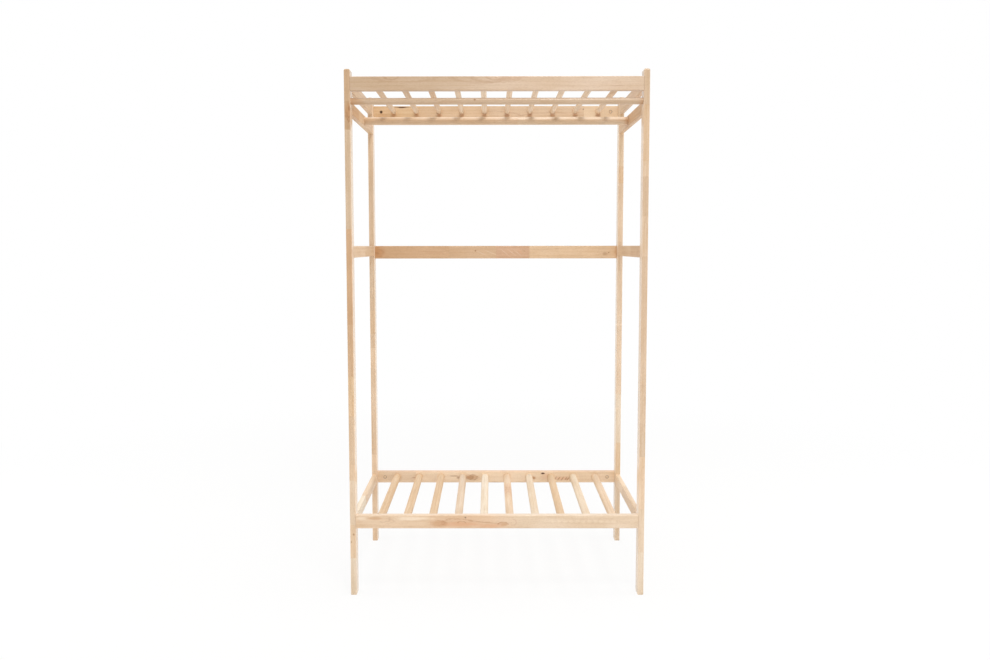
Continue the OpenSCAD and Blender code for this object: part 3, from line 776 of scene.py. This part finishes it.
# marks on each piece, its grain's own and some painted shade, shadow and highlight, as (tone, shape, place
# along, place across, half length, half width, slope, depth)
# painted shadow: a brown spot under each top bar's end on the back board, standing in for the bar's contact
# shadow
barEndShadows = [("sepia", "spot", middleOf(bar).x, 1.701, 0.012, 0.008, 0.0, 0.65)
              for bar in barNodes("top")]
nutRings = [("dark", "ring", end, 0.256, 0.0055, 0.0055, 0.0, 1.0) for end in (-0.45, 0.45)]
ripples = [("pale", "spot", 0.190 + 0.0205 * number, 0.2570 + 0.0012 * math.sin(2.1 * number),
            0.01, 0.0062, 0.0, 0.22) for number in range(11)]
nicks = [("brown", "spot", 0.240 + 0.0145 * number, 0.249, 0.0065, 0.0034, 1.3, 0.8) for number in range(4)]
pieceMarks = {
    # on each post, the long pale spot on the inner face is painted highlight, standing in for the light and
    # reflection on that face
    "front_left_post": [
        ("amber", "spot", 1.628, -0.486, 0.032, 0.013, 0.0, 0.75),
        ("brown", "arc", 1.634, -0.485, -0.032, 0.01, 0.0, 0.55),
        ("brown", "arc", 1.63, -0.485, -0.018, 0.006, 0.0, 0.6),
        ("brown", "spot", 1.64, -0.483, 0.01, 0.0045, 0.0, 0.75),
        ("brown", "spot", 0.212, -0.4876, 0.005, 0.004, 0.0, 0.7),
        ("brown", "spot", 0.185, -0.4955, 0.004, 0.003, 0.0, 0.6),
        ("pale", "spot", 0.9, -0.4785, 3.0, 0.003, 0.0, 0.55)],      # painted highlight: the inner face made paler, standing in for the light and reflection on it
    "front_right_post": [
        ("brown", "arc", 1.218, 0.492, 0.06, 0.006, 0.0, 0.2),
        ("pale", "spot", 0.9, 0.4785, 3.0, 0.003, 0.0, 0.45)],
    "rear_left_post": [("pale", "spot", 0.9, -0.4785, 3.0, 0.003, 0.0, 0.5)],
    "rear_right_post": [
        ("amber", "spot", 0.33, 0.49, 0.07, 0.014, 0.0, 0.12),
        ("pale", "spot", 0.9, 0.4785, 3.0, 0.003, 0.0, 0.45)],
    "top_front_board": [
        ("brown", "bowl", -0.345, 1.7435, 0.0235, 0.0105, 0.0, 0.34),
        ("brown", "bowl", -0.305, 1.7435, 0.103, 0.02, 0.0, 0.18),
        ("brown", "bowl", -0.0365, 1.7435, 0.113, 0.0215, 0.0, 0.2),
        ("brown", "bowl", -0.023, 1.7435, 0.063, 0.018, 0.0, 0.24),
        ("brown", "bowl", -0.003, 1.7435, 0.03, 0.0125, 0.0, 0.28),
        ("brown", "bowl", 0.0066, 1.7435, 0.014, 0.008, 0.0, 0.3),
        ("brown", "spot", 0.395, 1.712, 0.026, 0.002, 0.0, 0.35),
        ("red", "spot", 0.035, 1.74, 0.09, 0.012, 0.0, 0.15)],
    "top_back_board": [
        ("dark", "dot", -0.368, 1.733, 0.017, 0.003, 0.0, 1.0),
        ("dark", "dot", -0.37, 1.734, 0.042, 0.0018, 0.0, 0.85),
        ("dark", "dot", 0.343, 1.7245, 0.003, 0.003, 0.0, 0.55),
        ("brown", "hump", 0.17, 1.7, 0.1, 0.01, 0.08, 0.2),
        ("brown", "hump", 0.03, 1.706, 0.07, 0.01, -0.1, 0.25),
        ("amber", "spot", -0.445, 1.7, 0.03, 0.01, 0.0, 0.35),
        ("brown", "ring", -0.45, 1.715, 0.0054, 0.0054, 0.0, 0.8),
        ("dark", "ring", 0.45, 1.715, 0.0056, 0.0056, 0.0, 0.9), *barEndShadows],
    "middle_back_rail": [
        # the amber spots at the two ends darken the rail next to the posts: painted shade, the one at the
        # left also a darker end of the wood
        ("amber", "spot", -0.48, 1.169, 0.042, 0.032, 0.0, 0.85),
        ("brown", "spot", -0.474, 1.163, 0.018, 0.005, -0.3, 0.35),
        ("brown", "arc", -0.47, 1.164, 0.022, 0.014, 0.0, 0.25),
        ("sepia", "spot", -0.25, 1.166, 0.05, 0.004, -0.05, 0.25),
        ("brown", "dot", -0.0812, 1.1715, 0.004, 0.0032, 0.0, 0.95),
        ("pale", "spot", -0.06, 1.163, 0.022, 0.002, -0.45, 0.26),
        ("pale", "spot", -0.022, 1.165, 0.03, 0.002, -0.4, 0.24),
        ("pale", "spot", 0.034, 1.166, 0.021, 0.002, -0.8, 0.28),
        ("pale", "spot", 0.064, 1.164, 0.022, 0.002, -0.75, 0.28),
        ("pale", "spot", 0.086, 1.163, 0.019, 0.0017, -0.8, 0.26),
        ("red", "spot", 0.098, 1.166, 0.012, 0.006, -0.8, 0.35),
        ("brown", "spot", 0.113, 1.1715, 0.0045, 0.0028, -0.8, 0.5),
        ("brown", "spot", 0.4335, 1.159, 0.013, 0.007, 0.0, 0.45),
        ("brown", "dot", 0.448, 1.164, 0.0032, 0.0028, 0.0, 0.8),
        ("amber", "spot", 0.484, 1.167, 0.016, 0.03, 0.0, 0.55),
        ("brown", "spot", 0.242, 1.179, 0.012, 0.0022, 0.0, 0.35),
        ("brown", "spot", 0.18, 1.176, 0.055, 0.003, 0.02, 0.18)],
    "bottom_front_rail": [
        ("amber", "spot", -0.413, 0.2685, 0.028, 0.0075, 0.0, 0.42),
        ("brown", "arc", -0.398, 0.266, 0.034, 0.011, 0.0, 0.22),
        ("brown", "arc", -0.378, 0.258, 0.026, 0.009, 0.0, 0.2),
        ("pale", "spot", -0.29, 0.267, 0.075, 0.0075, 0.0, 0.6),
        ("pale", "spot", -0.46, 0.268, 0.02, 0.007, 0.0, 0.5),
        ("amber", "spot", -0.196, 0.249, 0.038, 0.015, 0.0, 0.6),
        ("red", "spot", -0.12, 0.248, 0.075, 0.011, 0.0, 0.7),
        ("sepia", "arc", -0.205, 0.252, 0.026, 0.008, 0.0, 0.45),
        ("sepia", "ring", -0.179, 0.2515, 0.009, 0.005, 0.0, 0.45),
        ("sepia", "hump", -0.1195, 0.2515, 0.013, 0.007, 0.0, 0.75),
        ("sepia", "hump", -0.128, 0.2585, 0.045, 0.0075, -0.05, 0.6),
        ("sepia", "spot", -0.04, 0.254, 0.056, 0.0016, -0.1, 0.62),
        ("red", "spot", -0.02, 0.242, 0.05, 0.008, 0.0, 0.6),
        ("dark", "dot", -0.1076, 0.2705, 0.0034, 0.003, 0.0, 0.75),
        ("amber", "spot", 0.022, 0.248, 0.017, 0.007, 0.0, 0.6),
        ("sepia", "hump", 0.021, 0.247, 0.017, 0.0075, 0.0, 0.85),
        ("sepia", "arc", 0.05, 0.254, 0.016, 0.011, 0.0, 0.25),
        # the pale spot along the top face at 0.281 is painted highlight
        ("pale", "spot", 0.0, 0.281, 2.0, 0.004, 0.0, 0.45), *ripples],
    "bottom_back_rail": [
        ("knot", "spot", -0.107, 0.2535, 0.018, 0.0095, 0.0, 0.5),
        ("amber", "spot", -0.098, 0.255, 0.034, 0.013, 0.0, 0.6),
        ("brown", "arc", -0.108, 0.254, 0.015, 0.008, 0.0, 0.7),
        ("brown", "arc", -0.1, 0.254, 0.024, 0.01, 0.0, 0.45),
        ("brown", "spot", -0.17, 0.26, 0.024, 0.0026, 0.0, 0.55),
        ("brown", "spot", -0.152, 0.2535, 0.01, 0.0055, 0.0, 0.55),
        ("sepia", "spot", -0.33, 0.253, 0.014, 0.003, 0.0, 0.55),
        ("brown", "spot", -0.005, 0.2345, 0.03, 0.0022, 0.0, 0.55),
        ("red", "spot", 0.0, 0.281, 2.0, 0.004, 0.0, 0.55),
        ("dark", "dot", 0.19, 0.2706, 0.0088, 0.004, 0.0, 1.0),
        ("amber", "spot", 0.152, 0.252, 0.0105, 0.007, 0.0, 0.9),
        ("red", "spot", 0.2, 0.258, 0.024, 0.015, 0.0, 0.4),
        ("brown", "spot", 0.292, 0.248, 0.008, 0.0045, 0.9, 0.8),
        ("red", "spot", 0.268, 0.25, 0.036, 0.009, 0.05, 0.6), *nicks, *nutRings],
    "curtain_rod": [
        ("brown", "dot", -0.073, 1.669, 0.004, 0.0034, 0.0, 0.95),
        # the amber spots at the two ends are painted shade next to the posts
        ("amber", "spot", -0.48, 1.66, 0.045, 0.03, 0.0, 0.55),
        ("amber", "spot", 0.484, 1.66, 0.018, 0.03, 0.0, 0.45),
        ("sepia", "spot", -0.16, 1.662, 0.05, 0.0018, 0.0, 0.35),
        ("brown", "spot", -0.2, 1.668, 0.006, 0.002, 0.0, 0.4)],
    "clothes_rail": [
        # painted highlight along the rail's top, painted shade along its middle, and painted shade at its
        # right end next to the post
        ("pale", "spot", 0.0, 1.661, 2.0, 0.005, 0.0, 0.4),
        ("brown", "spot", 0.0, 1.645, 2.0, 0.005, 0.0, 0.12),
        ("amber", "spot", 0.478, 1.647, 0.014, 0.03, 0.0, 0.5),
        ("brown", "spot", 0.21, 1.652, 0.03, 0.003, 0.0, 0.3)],
    "bottom_shelf_bar_6": [
        ("red", "spot", 0.055, 0.262, 0.09, 0.02, 0.0, 0.4),
        ("sepia", "ring", 0.068, 0.263, 0.018, 0.006, 0.0, 0.35),
        ("sepia", "ring", 0.03, 0.264, 0.026, 0.007, 0.0, 0.25)],
}
softBoards = ["top_front_board", "bottom_front_rail"]
seeds = {"post": 10.0, "side": 60.0, "rail": 150.0, "rod": 210.0, "top": 300.0, "bottom": 400.0,
         "dowel": 500.0}
seedStep = 9


def pieceWood(node, kind, grain, fingers, face, blocks, seed):
    return woodMaterial(camelName(node) + "Wood", grain, fingers, blocks, woodRoughness[kind],
                        pieceMarks.get(node, ()), face, seed, soft=kind == "bar" or node in softBoards)


print("posts and rails")
for number, (node, blocks) in enumerate(postBlocks.items()):
    wood = pieceWood(node, "post", axisZ, axisY, axisX, blocks, seeds["post"] + seedStep * number)
    buildPost(node, left if "left" in node else right, "front" in node, wood)
for number, (node, blocks) in enumerate(sideRailBlocks.items()):
    wood = pieceWood(node, "side", axisY, axisX, axisZ, blocks, seeds["side"] + seedStep * number)
    buildSideRail(node, left if "left" in node else right, wood)
for number, (node, blocks) in enumerate(crossRailBlocks.items()):
    wood = pieceWood(node, "rail", axisX, axisY, axisZ, blocks, seeds["rail"] + seedStep * number)
    buildCrossRail(node, node in crossRails[True], wood)

print("rods and bars")
for number, (node, blocks) in enumerate(rodBlocks.items()):
    wood = pieceWood(node, "rod", axisX, axisY, axisZ, blocks, seeds["rod"] + seedStep * number)
    finishPiece(buildRod(node, axisX, rodShape["rodSides"]), node, wood)
for shelf, tones in barTones.items():
    nodes = barNodes(shelf)
    first = buildRod(nodes[0], axisY, rodShape["barSides"])
    home = middleOf(nodes[0])
    bars = [first] + [copyPiece(first, camelName(node), middleOf(node) - home) for node in nodes[1:]]
    for number, (bar, node, tone) in enumerate(zip(bars, nodes, tones), 1):
        # the top bars' back block takes the paler tone of painted light
        blocks = [(-barLook["end"], tone, barLook["figure"]),
                  (barLook["end"], barLook["topBack"] if shelf == "top" else tone, barLook["figure"])]
        wood = pieceWood(node, "bar", axisY, axisZ, axisZ, blocks, seeds[shelf] + seedStep * number)
        finishPiece(bar, node, wood)

print("dowels")
dowelWood = woodMaterial("dowelWood", axisX, axisY, dowelBlocks, woodRoughness["dowel"], seed=seeds["dowel"])
for node in ("rail_dowels", "side_rail_dowels"):
    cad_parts[node].data.materials.clear()
    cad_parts[node].data.materials.append(dowelWood)


# zinc-plated connector bolts and barrel nuts
boltLook = {
    "colour": screenColour(186, 180, 166),
    "stain": screenColour(150, 138, 114),
    "roughness": 0.32,
    "shift": 1.3,      # each finish has its own stretch of the mottle
    "grime": 0.0,
}
nutLook = {
    "colour": screenColour(232, 206, 174),
    "stain": screenColour(204, 176, 144),
    "roughness": 0.36,
    "shift": 4.7,
    "grime": 0.9,      # painted shade on the nuts in the left ends of the top boards, standing in for the shade in their slots
    "paintedShadeColour": screenColour(66, 46, 30),
    "paintedShadeAbove": 1.6,
}
zincGrain = {
    "mottleScale": 420.0,
    "mottleDetail": 3.0,
    "mottleFrom": 0.45,
    "mottleTo": 0.75,
    "mottleShare": 0.55,
    "scratches": (900.0, 3500.0, 900.0),
    "scratchDetail": 2.0,
    "scratchFrom": 0.3,
    "scratchTo": 0.7,
    "smoother": 0.08,
    "rougher": 0.12,
    "bumpStrength": 0.3,
    "bumpDepth": 0.00005,
}


def zincMaterial(name, look):
    detail = zincGrain
    material, tree = newMaterial(name)
    shader = tree.nodes["Principled BSDF"]
    place = addNode(tree, "ShaderNodeTexCoord").outputs["Object"]
    moved = calcVector(tree, "ADD", place, (look["shift"], look["shift"], look["shift"]))
    mottle = addNode(tree, "ShaderNodeTexNoise", {"Vector": moved, "Scale": detail["mottleScale"],
                                                  "Detail": detail["mottleDetail"]}).outputs["Fac"]
    drawn = calcVector(tree, "MULTIPLY", moved, detail["scratches"])
    scratches = addNode(tree, "ShaderNodeTexNoise", {"Vector": drawn, "Scale": 1.0,
                                                     "Detail": detail["scratchDetail"]}).outputs["Fac"]
    stained = ease(tree, mottle, detail["mottleFrom"], detail["mottleTo"], 0.0, detail["mottleShare"])
    colour = blend(tree, "MIX", stained, look["colour"], look["stain"])
    # painted shade: the nuts high up at the left are darkened, standing in for shade in their slots
    if look["grime"]:
        spot = addNode(tree, "ShaderNodeSeparateXYZ", {"Vector": place}).outputs
        shadedNut = calc(tree, "MULTIPLY", calc(tree, "LESS_THAN", spot[axisX], 0.0),
                     calc(tree, "GREATER_THAN", spot[axisZ], look["paintedShadeAbove"]))
        colour = blend(tree, "MIX", calc(tree, "MULTIPLY", shadedNut, look["grime"]), colour, look["paintedShadeColour"])
    tree.links.new(colour, shader.inputs["Base Color"])
    rough = ease(tree, scratches, detail["scratchFrom"], detail["scratchTo"],
                 look["roughness"] - detail["smoother"], look["roughness"] + detail["rougher"])
    tree.links.new(rough, shader.inputs["Roughness"])
    bump = addNode(tree, "ShaderNodeBump", {"Height": scratches, "Strength": detail["bumpStrength"],
                                            "Distance": detail["bumpDepth"]})
    tree.links.new(bump.outputs["Normal"], shader.inputs["Normal"])
    shader.inputs["Metallic"].default_value = 1.0
    return material


rimEase = 0.3      # where a rounded rim's middle point lies, as a share of the rim


def rimProfile(radius, rim):
    return [(0.0, radius - rim), (rimEase * rim, radius - rimEase * rim), (rim, radius)]


boltShape = {
    "headHeight": 0.0025,
    "headSink": 0.0005,
    "head": 0.007,
    "rim": 0.0007,
    "shank": 0.003,
    "fillet": 0.0002,
    "tip": 0.0008,
    "keyRadius": 0.0023,
    "keyDepth": 0.0016,
    "keyAbove": 0.001,
    "keySides": 6,
    "sides": 40,
}


def buildBolts():
    shape = boltShape
    low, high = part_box("front_right_post")
    length = high.x - low.x - shape["headSink"] + fits["nutInset"] + fits["boltPast"]
    back, fillet = shape["headHeight"], shape["fillet"]
    profile = rimProfile(shape["head"], shape["rim"])
    profile += [(back - fillet, shape["head"]), (back, shape["head"] - fillet),
                (back, shape["shank"] + fillet), (back + fillet, shape["shank"]),
                (length - shape["tip"], shape["shank"]), (length, shape["shank"] - shape["tip"])]
    keyProfile = [(-shape["keyAbove"], shape["keyRadius"]), (shape["keyDepth"], shape["keyRadius"])]
    bolts = []
    for side in (left, right):
        for rail in crossRails[True] + crossRails[False]:
            centre = middleOf(rail)
            start = (side * (high.x - shape["headSink"]), centre.y, centre.z)
            bolt = turnPiece("bolt", start, axisX, -side, profile, shape["sides"])
            cutAway(bolt, [turnPiece("key", start, axisX, -side, keyProfile, shape["keySides"])])
            bolts.append(bolt)
    return joinPieces(bolts, "connectorBolts")


nutShape = {
    "radius": 0.005,
    "length": 0.014,
    "sink": 0.0005,
    "rim": 0.0006,
    "slotWide": 0.0016,
    "slotDeep": 0.0015,
    "slotAbove": 0.001,
    "slotEdge": 0.0001,
    "cutReach": 0.008,      # a slot or thread is cut this far to each side of the nut's middle
    "threadGap": 0.0001,
    "threadSides": 32,
    "sides": 40,
}


def buildNut(x, mouth, direction, centre):
    shape = nutShape
    length, rim, reach = shape["length"], shape["rim"], shape["cutReach"]
    profile = rimProfile(shape["radius"], rim)
    profile += [(length - rim, shape["radius"]), (length, shape["radius"] - rim)]
    nut = turnPiece("nut", (x, mouth, centre.z), axisY, direction, profile, shape["sides"])
    threadRadius = fits["boltRadius"] + shape["threadGap"]
    cutAway(nut, [turnPiece("thread", (x - reach, centre.y, centre.z), axisX, 1,
                            [(0.0, threadRadius), (2 * reach, threadRadius)], shape["threadSides"])])
    slotEnds = (mouth - direction * shape["slotAbove"], mouth + direction * shape["slotDeep"])
    slotLow = Vector((x - reach, min(slotEnds), centre.z - shape["slotWide"] / 2))
    slotHigh = Vector((x + reach, max(slotEnds), centre.z + shape["slotWide"] / 2))
    cutAway(nut, [addBoard("slot", slotLow, slotHigh, axisX, shape["slotEdge"], 1)])
    return nut


def buildNuts():
    nuts = []
    for rail in crossRails[True] + crossRails[False]:
        low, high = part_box(rail)
        mouth, direction = nutMouth(rail)
        mouth += direction * nutShape["sink"]
        for seam, inward in ((low.x, 1), (high.x, -1)):
            nuts.append(buildNut(seam + inward * fits["nutInset"], mouth, direction, middleOf(rail)))
    return joinPieces(nuts, "barrelNuts")


print("bolts and barrel nuts")
finishPiece(buildBolts(), "connector_bolts", zincMaterial("boltZinc", boltLook))
finishPiece(buildNuts(), "barrel_nuts", zincMaterial("nutZinc", nutLook))


# studio: white world for what the camera sees, an even fill, soft lamps above, in front and at the sides
studio = {
    "fill": 0.70,
    "fillColour": (1.0, 0.995, 0.985, 1.0),
    "floorSize": 60.0,
    "floorSteps": 8,
    "floorColour": screenColour(236, 235, 233),
    "bounceColour": screenColour(224, 222, 219),      # what the floor sends back up at the frame
    "shadowShare": 0.12,      # how much of the floor is lit paper, the rest shows as white
    "fadeFrom": 1.3,
    "fadeTo": 3.4,
    "white": (1.0, 1.0, 1.0, 1.0),
}
lamps = {
    "key": {"place": (0.6, -2.4, 5.2), "aim": (0.0, 0.0, 1.2), "size": (1.1, 1.1), "power": 80.0},
    "overhead": {"place": (0.2, -0.2, 6.2), "aim": (0.0, 0.0, 1.0), "size": (1.1, 1.1), "power": 58.0},
    "frontRight": {"place": (1.0, -3.2, 0.6), "aim": (0.0, 0.0, 0.6), "size": (1.8, 1.2), "power": 8.0},
    "lowFront": {"place": (0.2, -2.3, 0.35), "aim": (0.0, 0.0, 0.3), "size": (1.6, 0.6), "power": 5.0},
    "leftSide": {"place": (-3.4, 0.0, 0.9), "aim": (0.0, 0.0, 0.8), "size": (1.6, 1.8), "power": 34.0},
    "rightSide": {"place": (3.4, 0.0, 0.9), "aim": (0.0, 0.0, 0.8), "size": (1.6, 1.8), "power": 38.0},
}


def addLamp(name, look):
    data = bpy.data.lights.new(name, "AREA")
    data.shape = "RECTANGLE"
    data.size, data.size_y = look["size"]
    data.energy = look["power"]
    lamp = bpy.data.objects.new(name, data)
    bpy.context.scene.collection.objects.link(lamp)
    lamp.location = look["place"]
    lamp.rotation_mode = "QUATERNION"
    lamp.rotation_quaternion = (Vector(look["aim"]) - Vector(look["place"])).to_track_quat("-Z", "Y")
    lamp.visible_camera = False
    lamp.visible_glossy = "Side" not in name      # mirrored in a rod's end, it would be plain white


def seenRays(tree):      # rays that should meet the white background
    path = addNode(tree, "ShaderNodeLightPath").outputs
    return calc(tree, "MAXIMUM", path["Is Camera Ray"],
                calc(tree, "MAXIMUM", path["Is Glossy Ray"], path["Is Transmission Ray"]))


def buildWorld():
    world = bpy.data.worlds.new("studioWorld")
    bpy.context.scene.world = world
    world.use_nodes = True
    tree = world.node_tree
    tree.nodes.clear()
    white = addNode(tree, "ShaderNodeBackground", {"Color": studio["white"], "Strength": 1.0})
    fill = addNode(tree, "ShaderNodeBackground", {"Color": studio["fillColour"], "Strength": studio["fill"]})
    mix = addNode(tree, "ShaderNodeMixShader", {0: seenRays(tree), 1: fill.outputs[0], 2: white.outputs[0]})
    tree.links.new(mix.outputs[0], addNode(tree, "ShaderNodeOutputWorld").inputs["Surface"])


def buildFloor():
    bpy.ops.object.select_all(action="DESELECT")
    steps = studio["floorSteps"]
    bpy.ops.mesh.primitive_grid_add(x_subdivisions=steps, y_subdivisions=steps, size=studio["floorSize"],
                                    location=(0, 0, 0))
    floor = bpy.context.object
    floor.name = floor.data.name = "studioFloor"
    material, tree = newMaterial("paperFloor")
    tree.nodes.clear()
    place = addNode(tree, "ShaderNodeTexCoord").outputs["Object"]
    away = addNode(tree, "ShaderNodeVectorMath", {0: place}, operation="LENGTH").outputs["Value"]
    path = addNode(tree, "ShaderNodeLightPath").outputs
    paperColour = blend(tree, "MIX", path["Is Diffuse Ray"], studio["floorColour"], studio["bounceColour"])
    paper = addNode(tree, "ShaderNodeBsdfDiffuse", {"Color": paperColour})
    glow = addNode(tree, "ShaderNodeEmission", {"Color": studio["white"], "Strength": 1.0})
    share = ease(tree, away, studio["fadeFrom"], studio["fadeTo"], 1 - studio["shadowShare"], 1.0)
    mix = addNode(tree, "ShaderNodeMixShader", {0: calc(tree, "MULTIPLY", share, seenRays(tree)),
                                                1: paper.outputs[0], 2: glow.outputs[0]})
    tree.links.new(mix.outputs[0], addNode(tree, "ShaderNodeOutputMaterial").inputs["Surface"])
    floor.data.materials.append(material)


print("studio")
buildWorld()
buildFloor()
for name, look in lamps.items():
    addLamp(name, look)

print("done")
